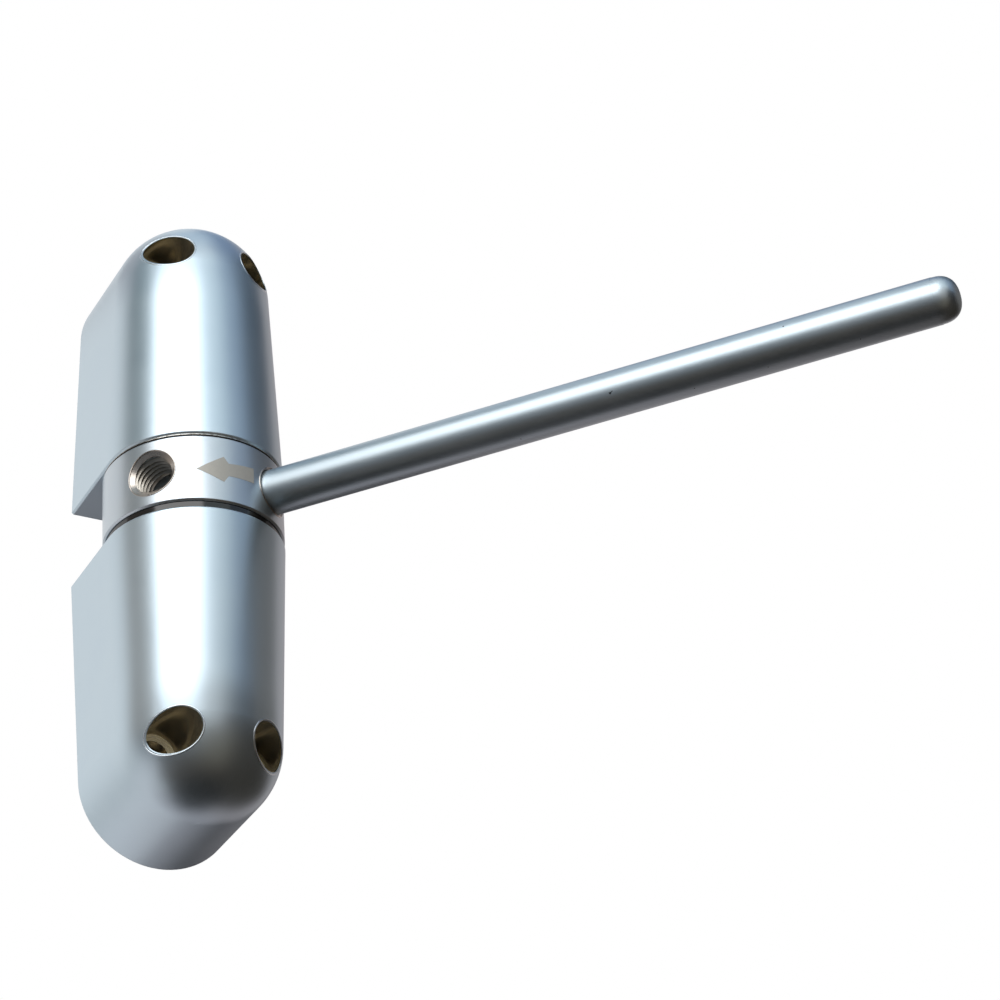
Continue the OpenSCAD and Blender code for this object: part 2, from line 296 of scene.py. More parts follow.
def ground_chromed_bar():
    """Smooth bright bar with faint rings of centreless grinding, drawn coarser than real, and a few pits."""

    def detail(tree, place, inputs):
        dots(tree, place, inputs, size=0.9, limit=0.875, colour="#4a4c50")
        tool_marks(tree, place, inputs, ROD_AXIS, pitch=0.3, depth=0.0006)

    return surface(
        "Steel bar, ground and chromed", "bar", patch=9.0, rough=(0.37, 0.42),
        grain=(0.25, 0.001), metal=1.0, detail=detail,
    )


def cut_thread_steel():
    """Oily brown-grey flanks of a tapped thread, brighter along the crests."""
    return surface(
        "Steel, tapped thread with cutting oil", ("#8c857a", "#c6c2ba"), patch=0.8, rough=(0.24, 0.38),
        grain=(0.2, 0.002), metal=1.0,
    )


def countersunk_steel():
    """Bare countersink with a brownish breath of oil, bright where it faces the light."""
    return surface(
        "Steel, countersunk and oiled", ("#a9a199", "#c0bab3"), patch=1.5, rough=(0.24, 0.32),
        grain=(0.2, 0.001), metal=1.0,
    )


def printed_ink():
    """Grey-beige ink, so thin that the metal's light and dark still show through it."""
    return surface("Ink, pad printed", "ink", patch=0.6, rough=(0.4, 0.55), grain=(0.15, 0.002), metal=0.5)


def drawn_spring_wire():
    """Dark oiled steel with draw streaks that break the highlight on each coil."""
    return surface(
        "Spring steel wire, drawn and oiled", ("#4b4a49", "#77777a"), patch=1.1, rough=(0.28, 0.45),
        grain=(0.3, 0.003), metal=1.0,
    )


def ground_axle_steel():
    """Oiled dark grey steel with fine grinding rings, drawn coarser than real."""

    def detail(tree, place, inputs):
        tool_marks(tree, place, inputs, UP, pitch=0.25, depth=0.0008)

    return surface(
        "Steel, ground and oiled", ("#6e6b68", "#828080"), patch=4.0, rough=(0.24, 0.34),
        grain=(0.3, 0.001), metal=1.0, detail=detail,
    )


def stamped_washer_steel():
    """Zinc-plated strip, bright but speckled where the plating is thin, with painted shade on its lower part for
    the dark line of the groove below it.
    """
    low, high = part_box("upper_thrust_washer")
    painted_shade_share = 0.4

    def detail(tree, place, inputs):
        dots(tree, place, inputs, size=0.55, limit=0.58, colour="#98948c")
        height = add(tree, "VectorMath", {0: place, 1: (0, 0, 1)}, "Value", operation="DOT_PRODUCT")
        # Painted shade: the washer's lower part is darkened, standing in for the shadow line of the groove below
        # it
        painted_shade_top = low.z + painted_shade_share * (high.z - low.z)
        painted_shade = add(tree, "Math", {0: height, 1: painted_shade_top}, operation="LESS_THAN")
        ends = {0: painted_shade, 6: inputs["Base Color"], 7: linear("#3a3531")}
        inputs["Base Color"] = add(tree, "Mix", ends, 2, data_type="RGBA")

    return surface(
        "Steel strip, stamped and zinc plated", ("#bab7b1", "#d8d5cf"), patch=2.0, rough=(0.2, 0.34),
        grain=(0.3, 0.002), metal=1.0, detail=detail,
    )


def moulded_black_nylon():
    """Deep brownish black with a faint sheen, which makes the wide dark line of the lower seam."""

    def detail(tree, place, inputs):
        inputs["Specular IOR Level"] = 0.65

    return surface(
        "Nylon, moulded black", ("#060505", "#0b0908"), patch=1.5, rough=(0.1, 0.16),
        grain=(0.3, 0.002), detail=detail,
    )


def moulded_natural_nylon():
    """Creamy plastic, a little cloudy, for the sleeves inside the springs."""

    def detail(tree, place, inputs):
        inputs |= {"Subsurface Weight": 0.1, "Subsurface Scale": 1.0 * MM}

    return surface(
        "Nylon, moulded natural", ("#d3c9b2", "#e0d8c6"), patch=3.0, rough=(0.4, 0.55),
        grain=(0.4, 0.004), detail=detail,
    )


def sintered_bronze():
    """Brownish bronze with open pores that hold oil."""
    pore_depth = 0.01 * MM

    def detail(tree, place, inputs):
        pores = dots(tree, place, inputs, size=0.35, limit=0.6, colour="#4d3a1e")
        relief = {"Height": pores, "Distance": -pore_depth, "Strength": 1.0, "Normal": inputs["Normal"]}
        inputs["Normal"] = add(tree, "Bump", relief, "Normal")

    return surface(
        "Bronze, sintered", ("#a5803f", "#b8945a"), patch=2.0, rough=(0.32, 0.5),
        grain=(0.3, 0.002), metal=1.0, detail=detail,
    )


def pale_floor():
    """Warm white studio board with a barely visible cloudiness."""
    return surface(
        "Board, matt white", ("#eceae6", "#f4f3f0"), patch=120.0, rough=(0.6, 0.7), grain=(1.0, 0.01)
    )


def wear(node, material):
    """Gives a CAD node or a piece one material."""
    node.data.materials.clear()
    node.data.materials.append(material)


def piece(name, verts, faces, material, body=None, slot=None, crease=35.0):
    """New mesh piece in the frame, smooth up to the crease angle, riding on its body."""
    mesh = bpy.data.meshes.new(name)
    made = bmesh.new()
    points = [made.verts.new(v) for v in verts]
    for face in faces:
        made.faces.new([points[i] for i in face])
    bmesh.ops.dissolve_degenerate(made, dist=1e-8, edges=made.edges)
    bmesh.ops.recalc_face_normals(made, faces=made.faces)
    made.to_mesh(mesh)
    made.free()
    mesh.shade_smooth()
    mesh.set_sharp_from_angle(angle=math.radians(crease))
    obj = bpy.data.objects.new(name, mesh)
    bpy.context.scene.collection.objects.link(obj)
    wear(obj, material)
    if body:
        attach(obj, body)
    return obj


def loft(rows, closed=False):
    """Faces between equal rows of points that each run round a closed section, with caps on open ends."""
    wide = len(rows[0])
    verts = [p for row in rows for p in row]
    faces = []
    for i in range(len(rows) if closed else len(rows) - 1):
        a, b = i * wide, (i + 1) % len(rows) * wide
        faces += [(a + k, a + (k + 1) % wide, b + (k + 1) % wide, b + k) for k in range(wide)]
    if not closed:
        faces += [tuple(range(wide)), tuple(range(len(verts) - wide, len(verts)))]
    return verts, faces


def tube(path, radius, sides, closed=False):
    """Round wire along a path, with a frame that is carried on from point to point."""
    count = len(path)
    rows, out = [], None
    for i, point in enumerate(path):
        before = path[i - 1] if i or closed else point
        after = path[(i + 1) % count] if i < count - 1 or closed else point
        along = (after - before).normalized()
        out = (out - along * out.dot(along) if out else along.orthogonal()).normalized()
        side = along.cross(out)
        rows.append([point + radius * (math.cos(t) * out + math.sin(t) * side) for t in whole_turn(sides)])
    return loft(rows, closed)


def around(origin, axis):
    """Function that places (distance along the axis, radius, angle) about an axis in the frame."""
    first = UP.cross(axis).normalized() if abs(axis.dot(UP)) < 0.9 else Vector((1, 0, 0))
    second = axis.cross(first)

    def place(along, radius, angle):
        return origin + axis * along + radius * (math.cos(angle) * first + math.sin(angle) * second)

    return place


def turned(place, profile):
    """Solid of revolution through (along, radius) points."""
    return loft([[place(a, r, t) for t in whole_turn(ROUND_STEPS)] for a, r in profile])


def ring(place, section):
    """Ring with a closed section of (along, radius) points."""
    return loft([[place(a, r, t) for a, r in section] for t in whole_turn(ROUND_STEPS)], closed=True)


def thread(place, base_r, crest_r, start, end, pitch, phase):
    """Helical ridge of sixty degree form, which rises and fades over half a turn at its ends."""
    offsets = ((-7 / 16, 0), (-1 / 16, 1), (1 / 16, 1), (7 / 16, 0))
    count = int((end - start) / pitch * THREAD_STEPS)
    rows = []
    for i in range(count + 1):
        along = start + pitch * (i / THREAD_STEPS + phase)
        angle = 2 * math.pi * i / THREAD_STEPS
        rise = min(1.0, 2 * (i + 1) / THREAD_STEPS, 2 * (count - i + 1) / THREAD_STEPS)
        height = (crest_r - base_r) * rise
        rows.append([place(along + pitch * a, base_r + height * up, angle) for a, up in offsets])
    return loft(rows)


def joined(*parts):
    """One list of points and faces from several."""
    verts, faces = [], []
    for points, polygons in parts:
        faces += [tuple(i + len(verts) for i in polygon) for polygon in polygons]
        verts += points
    return verts, faces


def length_property(name, description, default):
    """Property for a length in the frame's metres."""
    return FloatProperty(name=name, description=description, default=default, subtype="DISTANCE")


def colour_property(name, description, hex_colour):
    """Property for a colour, given as sRGB hex and kept linear."""
    return FloatVectorProperty(
        name=name, description=description, size=4, default=linear(hex_colour), subtype="COLOR"
    )


class CloserFinish(bpy.types.PropertyGroup):
    """Colours of the finishes in view, each of which drifts between a darker and a lighter one."""

    casting_dark: colour_property("Casting, darker", "Darker chrome of the housings", "#becdd7")
    casting_light: colour_property("Casting, lighter", "Lighter chrome of the housings", "#c6d4dc")
    collar_dark: colour_property("Collar, darker", "Darker chrome of the collar", "#bac4cc")
    collar_light: colour_property("Collar, lighter", "Lighter chrome of the collar", "#c4cbd0")
    bar_dark: colour_property("Bar, darker", "Darker chrome of the pressure rod", "#afbcc4")
    bar_light: colour_property("Bar, lighter", "Lighter chrome of the pressure rod", "#b9c4ca")
    ink_dark: colour_property("Ink, darker", "Darker ink of the arrow", "#93908a")
    ink_light: colour_property("Ink, lighter", "Lighter ink of the arrow", "#9f9c94")
    film_dark: colour_property("Film, darker", "Darker brass film in the screw bores", "#8a826f")
    film_light: colour_property("Film, lighter", "Lighter brass film in the screw bores", "#aaa08a")


class CloserHousing(bpy.types.PropertyGroup):
    """Screw bores of the housings, and their turn from barrel to ball."""

    bore_d: length_property("Bore", "Counterbore of a screw hole", 7.5 * MM)
    rim_r: length_property("Rim", "Radius of the polished rim of a bore", 0.18 * MM)
    rim_inset: length_property("Rim inset", "How far the rim's middle lies inside the metal", 0.125 * MM)
    ball_z: length_property("Ball", "Height at which a barrel meets its ball end", 45.97 * MM)
    blend: length_property("Blend", "Reach of the gradual turn from barrel to ball, each way", 9.0 * MM)
    blend_fall: length_property("Blend fall", "How far the surface seems to fall over the turn", 1.1 * MM)
    seat_t: length_property("Seat", "Distance from the wall to a screw's seat", 18.4 * MM)
    ledge: length_property("Ledge", "Width of the ledge round a seat", 1.0 * MM)
    step: length_property("Step", "Height of a step in the ledge", 0.15 * MM)
    film: length_property("Film", "Thickness of the film in a bore", 0.06 * MM)


class CloserCollar(bpy.types.PropertyGroup):
    """Tapped holes and arrow of the tension collar."""

    pitch: length_property("Pitch", "Pitch of the rod's thread", 1.0 * MM)
    crest: length_property("Thread depth", "Height of the thread in a hole", 0.55 * MM)
    mouth_d: length_property("Mouth", "Mouth of a tapped hole", 8.9 * MM)
    lead: length_property("Lead-in", "Plain length between mouth and thread", 0.3 * MM)
    sink: FloatProperty(
        name="Countersink", description="Slope of the countersink in a mouth", default=math.radians(30),
        subtype="ANGLE",
    )
    bead_r: length_property("Mouth edge", "Radius of the rounded edge of a mouth", 0.13 * MM)
    mouth_t: length_property("Mouth wall", "Thickness of the countersunk lip in a mouth", 0.15 * MM)
    arrow_tip: FloatProperty(
        name="Arrow tip", description="Angle of the arrow's tip about the pivot", default=math.radians(-111),
        subtype="ANGLE",
    )
    arrow_len: length_property("Arrow", "Length of the arrow", 10.8 * MM)
    head_len: length_property("Arrow head", "Length of the arrow's head", 4.8 * MM)
    barb: length_property("Barb", "How far the head's barbs lie ahead of the neck", 0.9 * MM)
    head_w: length_property("Head width", "Width of the arrow's head", 5.1 * MM)
    neck_w: length_property("Neck width", "Width of the shaft at the head", 2.5 * MM)
    tail_w: length_property("Tail width", "Width of the shaft at the tail", 3.0 * MM)
    arrow_tilt: FloatProperty(
        name="Tilt", description="Tilt of the arrow, its tip down", default=math.radians(4), subtype="ANGLE"
    )
    ink: length_property("Ink", "Thickness of the printed arrow", 0.03 * MM)


class CloserRod(bpy.types.PropertyGroup):
    """Screwed end and nose of the pressure rod."""

    thread_gap: length_property("Thread gap", "Play of the thread in its hole", 0.06 * MM)
    nose_len: length_property("Nose", "Length of the rounded nose", 3.9 * MM)
    nose_full: FloatProperty(
        name="Nose fullness", description="Exponent of the nose's round: 2 is an ellipse, more is blunter",
        default=2.5,
    )
    nose_step: length_property("Nose step", "Step in radius where the nose starts", 0.05 * MM)
    chamfer: length_property("Chamfer", "Chamfer of the screwed end", 0.8 * MM)
    runout: length_property("Runout", "Length from the thread's end to the full bar", 0.5 * MM)


class CloserSpring(bpy.types.PropertyGroup):
    """Form of a torsion spring."""

    wire_d: length_property("Wire", "Diameter of the wire", 2.6 * MM)
    turn_gap: length_property("Turn gap", "Gap between turns", 0.5 * MM)
    turns: FloatProperty(name="Turns", description="Turns of the coil", default=6.5)
    bend_r: length_property("Bend", "Bend between coil and tang", 2.0 * MM)
    seat_gap: length_property("Seat gap", "Gap below the first turn", 0.05 * MM)
    tang: length_property("Tang", "Length of the tang in the chamber's floor", 3.5 * MM)


class CloserPin(bpy.types.PropertyGroup):
    """Slotted spring pin across an axle end."""

    wall: length_property("Wall", "Thickness of the rolled strip", 0.55 * MM)
    slit: length_property("Slit", "Width of the open slit", 0.5 * MM)
    chamfer: length_property("Chamfer", "Chamfer of the ends", 0.3 * MM)


class CloserWasher(bpy.types.PropertyGroup):
    """Rolled edge of the upper thrust washer."""

    roll: length_property("Rolled edge", "Width of the rolled outer edge", 0.32 * MM)
    swell: length_property("Swell", "How much the rolled edge is thicker, on each side", 0.03 * MM)


class CloserStage(bpy.types.PropertyGroup):
    """Camera, light, floor and cards."""

    camera: FloatVectorProperty(
        name="Camera", description="Place of the camera", default=(-0.178934, -0.432371, -0.280801),
        subtype="TRANSLATION",
    )
    target: FloatVectorProperty(
        name="Target", description="Point in the middle of the picture",
        default=(0.046903, -0.044326, -0.001070), subtype="TRANSLATION",
    )
    roll: FloatProperty(
        name="Roll", description="Turn of the camera about its view", default=math.radians(-4.62),
        subtype="ANGLE",
    )
    lens: FloatProperty(name="Lens", description="Focal length", default=108.495, unit="CAMERA")
    ambient: FloatProperty(
        name="Ambient", description="Level of the even light on matt surfaces", default=0.85
    )
    floor_z: length_property("Floor", "Height of the floor", -0.42)
    floor_w: length_property("Floor width", "Width of the square floor", 30.0)
    card_r: length_property("Cards", "Distance of the cards from the object", 0.4)
    card_gap: length_property("Card gap", "Distance from one card to the next behind it", 0.5 * MM)


class CLOSER_OT_housings(bpy.types.Operator):
    """Finish both housings, and polish the rims of their screw bores and line them"""

    bl_idname = "closer.housings"
    bl_label = "Housings"

    def execute(self, context):
        sizes = context.scene.closer_housing
        plated, bright, brass = satin_chromed_zinc_casting(), polished_rim(), yellow_lining()
        for name, side in SIDES.items():
            node = NODES[f"{name}_housing"]
            wear(node, plated)
            for hand, x in (("left", -1), ("right", 1)):
                across, height = x * SCREWS["spacing_x_mm"] / 2 * MM, side * SCREWS["spacing_y_mm"] / 2 * MM
                seat = Vector((across, -sizes.seat_t, height))
                rim, lining = self.bore(sizes, node, seat)
                piece(f"{name}_{hand}_bore_rim", *rim, bright, "fixed_body", "cast_zinc")
                piece(f"{name}_{hand}_bore_lining", *lining, brass, "fixed_body", "cast_zinc")
        return {"FINISHED"}

    def bore(self, sizes, node, seat):
        """Round that rolls over the edge of a bore, and the lining from there over the seat to the back."""
        radius, shank = sizes.bore_d / 2, SCREWS["hole_r_mm"] * MM
        place = around(seat, FRONT)
        arc = [math.radians(degrees) for degrees in spread(*RIM_ARC, RIM_STEPS)]
        rims, linings = [], []
        for turn in whole_turn(ROUND_STEPS):
            edge = self.front_at(node, place(0, radius + EMBED, turn))
            beyond = self.front_at(node, place(0, radius + 2 * sizes.rim_r, turn))
            along = (beyond - edge).normalized()
            normal = (FRONT - along * FRONT.dot(along)).normalized()
            heart = edge + (along - FRONT) * sizes.rim_inset / normal.dot(FRONT)
            rims.append([heart + sizes.rim_r * (math.cos(t) * normal - math.sin(t) * along) for t in arc])
            top = (edge - seat).dot(FRONT) - sizes.rim_r
            inner = [(top, radius)]
            for i in range(LEDGE_STEPS):
                level = sizes.step * (LEDGE_STEPS - i)
                inner += [(level, radius - sizes.ledge * done / LEDGE_STEPS) for done in (i, i + 1)]
            sink = radius - sizes.ledge - shank
            inner += [(0, radius - sizes.ledge), (-sink, shank), (EMBED - sizes.seat_t, shank)]
            outer = [(a - EMBED, r + EMBED) for a, r in reversed(inner)]
            inner = [(a, r - sizes.film) for a, r in inner]
            linings.append([place(a, r, turn) for a, r in inner + outer])
        return loft(rims, closed=True), loft(linings, closed=True)

    @staticmethod
    def front_at(node, point):
        """Place on the front of a CAD node, straight before a point."""
        found, spot, _, _ = node.ray_cast(point + RAY_START * FRONT, -FRONT)
        if not found:
            raise RuntimeError(f"{node.name} has no front at {tuple(point)}")
        return spot


class CLOSER_OT_collar(bpy.types.Operator):
    """Finish the collar, cut its threads, countersink their mouths and print the arrow"""

    bl_idname = "closer.collar"
    bl_label = "Collar"

    def execute(self, context):
        sizes = context.scene.closer_collar
        chromed, cut, ink = turned_chromed_collar(), cut_thread_steel(), printed_ink()
        sunk = countersunk_steel()
        wear(NODES["tension_collar"], chromed)
        start, end = TAP_MID - TAP_LEN / 2, TAP_MID + TAP_LEN / 2 - sizes.lead
        crest_r = TAP_R - sizes.crest
        lips = [(axis, crest_r + EMBED) for axis in TAP_AXES] + [(ROD_AXIS, ROD_R + EMBED)]
        for i, (axis, inner) in enumerate(lips, 1):
            ridge = thread(around(PIVOT, axis), TAP_R + EMBED, crest_r, start, end, sizes.pitch, 0)
            piece(f"rod_hole_{i}_thread", *ridge, cut, "hub", "turned_collar")
            piece(f"rod_hole_{i}_lip", *self.lip(sizes, axis, inner), sunk, "hub", "turned_collar")
        piece("collar_arrow", *self.arrow(sizes), ink, "hub")
        return {"FINISHED"}

    @staticmethod
    def lip(sizes, axis, inner):
        """Rounded edge of a mouth and the countersink from there down to the inner radius."""
        place = around(PIVOT, axis)
        radius = sizes.mouth_d / 2
        edges, rows = [], []
        for turn in whole_turn(ROUND_STEPS):
            high = math.sqrt(COLLAR_R**2 - (radius * math.cos(turn)) ** 2)
            low = high - (radius - inner) * math.tan(sizes.sink)
            section = [(high, radius + EMBED), (low, inner), (low - sizes.mouth_t, inner)]
            section.append((high - sizes.mouth_t, radius + EMBED))
            edges.append(place(high, radius, turn))
            rows.append([place(a, r, turn) for a, r in section])
        return joined(loft(rows, closed=True), tube(edges, sizes.bead_r, BEAD_SIDES, closed=True))

    @staticmethod
    def arrow(sizes):
        """Thin arrow wrapped round the collar, as rows of its section from tip to tail."""
        neck = sizes.head_len + sizes.barb
        shares = spread(0, 1, ARROW_STEPS)
        # The tip keeps a hair's width, so that its section stays a section
        columns = [(sizes.head_len * share, sizes.head_w / 2 * max(share, 0.01)) for share in shares]
        for share in shares:
            half = (sizes.neck_w + (sizes.tail_w - sizes.neck_w) * share) / 2
            columns.append((neck + (sizes.arrow_len - neck) * share, half))
        rows = []
        for along, half in columns:
            angle = sizes.arrow_tip + along / COLLAR_R
            out = Vector((math.cos(angle), math.sin(angle), 0))
            slope = (along - sizes.arrow_len / 2) * math.tan(sizes.arrow_tilt)
            row = []
            for height, lift in ((-half, -1), (half, -1), (half, 1), (-half, 1)):
                row.append(PIVOT + out * (COLLAR_R + lift * sizes.ink) + UP * (height + slope))
            rows.append(row)
        return loft(rows)


class CLOSER_OT_rod(bpy.types.Operator):
    """Build the pressure rod with its screwed end and rounded nose"""

    bl_idname = "closer.rod"
    bl_label = "Pressure rod"

    def execute(self, context):
        sizes, collar = context.scene.closer_rod, context.scene.closer_collar
        place = around(PIVOT, ROD_AXIS)
        thread_end = TAP_MID + TAP_LEN / 2
        core = TAP_R - collar.crest - sizes.thread_gap
        nose_start, nose_r = ROD_END - sizes.nose_len, ROD_R - sizes.nose_step
        profile = [
            (ROD_START, ROD_R - sizes.chamfer),
            (ROD_START + sizes.chamfer / 2, core),
            (thread_end - sizes.runout, core),
            (thread_end, ROD_R),
            (nose_start, ROD_R),
        ]
        for k in range(NOSE_STEPS + 1):
            # The last ring stays a little open, and its cap closes the nose
            turn = math.pi / 2 * k / (NOSE_STEPS + 0.1)
            along, out = (share ** (2 / sizes.nose_full) for share in (math.sin(turn), math.cos(turn)))
            profile.append((nose_start + sizes.nose_len * along, nose_r * out))
        # The rod's ridge lies in the groove of the hole's
        first = ROD_START + sizes.chamfer / 2
        phase = 0.5 + (TAP_MID - TAP_LEN / 2 - first) / collar.pitch % 1
        ridge = thread(
            place, core - EMBED, TAP_R - sizes.thread_gap, first,
            thread_end - sizes.runout - 2 * collar.pitch, collar.pitch, phase,
        )
        mesh = joined(turned(place, profile), ridge)
        bar = piece("pressure_rod_bar", *mesh, ground_chromed_bar(), "rod", "plated_rod", 6.0)
        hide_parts("pressure_rod")
        return {"FINISHED"}


class CLOSER_OT_springs(bpy.types.Operator):
    """Wind both torsion springs, from their tangs in the collar to their tangs in the chamber floors"""

    bl_idname = "closer.springs"
    bl_label = "Springs"

    def execute(self, context):
        sizes = context.scene.closer_spring
        steel = drawn_spring_wire()
        for name, side in SIDES.items():
            low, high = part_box(f"{name}_spring")
            open_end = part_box(f"{name}_housing")[0 if side > 0 else 1].z
            inner, outer = (low.z, high.z) if side > 0 else (high.z, low.z)
            path = self.path(sizes, side, (high.x - low.x) / 2, open_end, inner, outer)
            wire = tube(path, sizes.wire_d / 2, WIRE_SIDES)
            coil = piece(f"{name}_spring_coil", *wire, steel, slot="spring_wire")
            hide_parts(f"{name}_spring")
            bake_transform(coil)
        return {"FINISHED"}

    @staticmethod
    def path(sizes, side, reach, open_end, inner, outer):
        """Centre line from the tang in the collar over the coil to the tang in the chamber floor."""
        radius = reach - sizes.wire_d / 2
        bend = sizes.bend_r / radius
        first = math.atan2(ROD_AXIS.y, ROD_AXIS.x) + math.pi / 4
        level = sizes.wire_d / 2 + sizes.seat_gap
        rise = (sizes.wire_d + sizes.turn_gap) * sizes.turns
        last = first + 2 * bend + 2 * math.pi * sizes.turns
        steps = [(first, side * (inner - open_end))]
        for t in spread(0, math.pi / 2, BEND_STEPS):
            steps.append((first + bend * (1 - math.cos(t)), level - sizes.bend_r * (1 - math.sin(t))))
        for share in spread(0, 1, int(sizes.turns * COIL_STEPS))[1:]:
            steps.append((first + bend + 2 * math.pi * sizes.turns * share, level + rise * share))
        for t in spread(0, math.pi / 2, BEND_STEPS)[1:]:
            steps.append((last - bend + bend * math.sin(t), level + rise + sizes.bend_r * (1 - math.cos(t))))
        steps.append((last, side * (outer - open_end)))
        return [
            Vector((radius * math.cos(a), PIVOT.y + radius * math.sin(a), open_end + side * s))
            for a, s in steps
        ]


class CLOSER_OT_pins(bpy.types.Operator):
    """Roll the slotted spring pins that hold the axle"""

    bl_idname = "closer.pins"
    bl_label = "Axle pins"

    def execute(self, context):
        sizes = context.scene.closer_pin
        steel = ground_axle_steel()
        for name in SIDES:
            low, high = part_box(f"{name}_axle_pin")
            radius, length = (high.x - low.x) / 2, high.y - low.y
            inside = radius - sizes.wall
            section = [
                (0, inside), (0, radius - sizes.chamfer), (sizes.chamfer, radius),
                (length - sizes.chamfer, radius), (length, radius - sizes.chamfer), (length, inside),
            ]
            place = around(Vector((0, high.y, (low.z + high.z) / 2)), FRONT)
            half = sizes.slit / 2 / radius
            angles = spread(half, 2 * math.pi - half, PIN_STEPS)
            mesh = loft([[place(a, r, t) for a, r in section] for t in angles])
            pin = piece(f"{name}_slotted_pin", *mesh, steel, "fixed_body", "ground_steel")
            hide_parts(f"{name}_axle_pin")
        return {"FINISHED"}


class CLOSER_OT_inner(bpy.types.Operator):
    """Finish the axle, bushes, spring guides and lower washer, and stamp the upper washer"""

    bl_idname = "closer.inner"
    bl_label = "Inner pieces"

    def execute(self, context):
        bronze, nylon = sintered_bronze(), moulded_natural_nylon()
        wear(NODES["axle"], ground_axle_steel())
        self.washer(context.scene.closer_washer)
        wear(NODES["lower_thrust_washer"], moulded_black_nylon())
        for name in SIDES:
            wear(NODES[f"{name}_bush"], bronze)
            wear(NODES[f"{name}_spring_guide"], nylon)
        return {"FINISHED"}

    @staticmethod
    def washer(sizes):
        """Upper thrust washer with the rolled outer edge of a stamping."""
        low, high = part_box("upper_thrust_washer")
        outer, half = (high.x - low.x) / 2, (high.z - low.z) / 2
        middle = Vector((PIVOT.x, PIVOT.y, (low.z + high.z) / 2))
        inner = min((v.co - middle).xy.length for v in NODES["upper_thrust_washer"].data.vertices)
        section = [(-half, inner), (half, inner), (half, outer)]
        for turn in spread(math.pi / 2, -math.pi / 2, BEND_STEPS):
            out = outer + sizes.roll / 2 * (1 + math.cos(turn))
            section.append(((half + sizes.swell) * math.sin(turn), out))
        section.append((-half, outer))
        rolled = ring(around(middle, UP), section)
        made = piece("upper_washer", *rolled, stamped_washer_steel(), "fixed_body", "washer_steel")
        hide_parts("upper_thrust_washer")


# Cards that the metal mirrors, each hung a little behind the one before: azimuth and elevation
# ranges in degrees, and a colour that was fitted and adjusted to the tones of the photographed metal
CARDS = {
    "left_gap": (153, 197, -8, 32, "#9f9790"),
    "left_gap_up": (150, 197, 32, 48, "#566c6f"),
    "left_up_back": (100, 150, 46, 76, "#c0bbbf"),
    "left_up": (150, 190, 48, 76, "#547078"),
    "left_low": (84, 180, -44, -24, "#f0edef"),
    "left_below": (84, 146, -60, -44, "#c9c4c8"),
    "front_up": (-170, -101, 55, 76, "#a1b2bd"),
    "front_right": (-101, -66, 18, 60, "#e8f6fc"),
    "right_front": (-66, -38, 14, 60, "#a0b2c8"),
    "right": (-38, 13, 31, 60, "#3c4a58"),
    "right_up": (-60, 60, 60, 76, "#7a8eae"),
    "right_mid": (-38, 9, 4, 31, "#827c78"),
    "right_back": (9, 50, -8, 60, "#c5bcbb"),
    "ceiling": (-180, 180, 76, 90, "#d3e2f0"),
    "front_low": (-112, -78, -14, 18, "#b2adaa"),
    "right_front_low": (-78, -38, -14, 14, "#2a2422"),
    "right_back_low": (32, 50, -64, -8, "#b8adad"),
    "left_front_low": (-197, -112, -34, 4, "#62686e"),
    "back_below": (50, 84, -64, -34, "#bcb6ba"),
    "back_low": (48, 85, -36, -8, "#1c1c1c"),
    "back": (62, 82, -8, 16, "#bcbec8"),
    "back_right": (50, 62, -8, 16, "#343438"),
    "back_right_up": (50, 64, 16, 26, "#5a5a60"),
    "right_low": (-57, 32, -64, 4, "#3d3731"),
    "front_floor": (-108, -66, -50, -14, "#766c5d"),
    "front_below": (-197, -56, -64, -14, "#43382f"),
    "below": (-180, 180, -90, -58, "#1f1f1f"),
}
# White lamp: azimuth and elevation in degrees, distance, width and height in metres, power in watts
LAMP = (-130, 27, 0.9, 1.02, 0.94, 7.0)


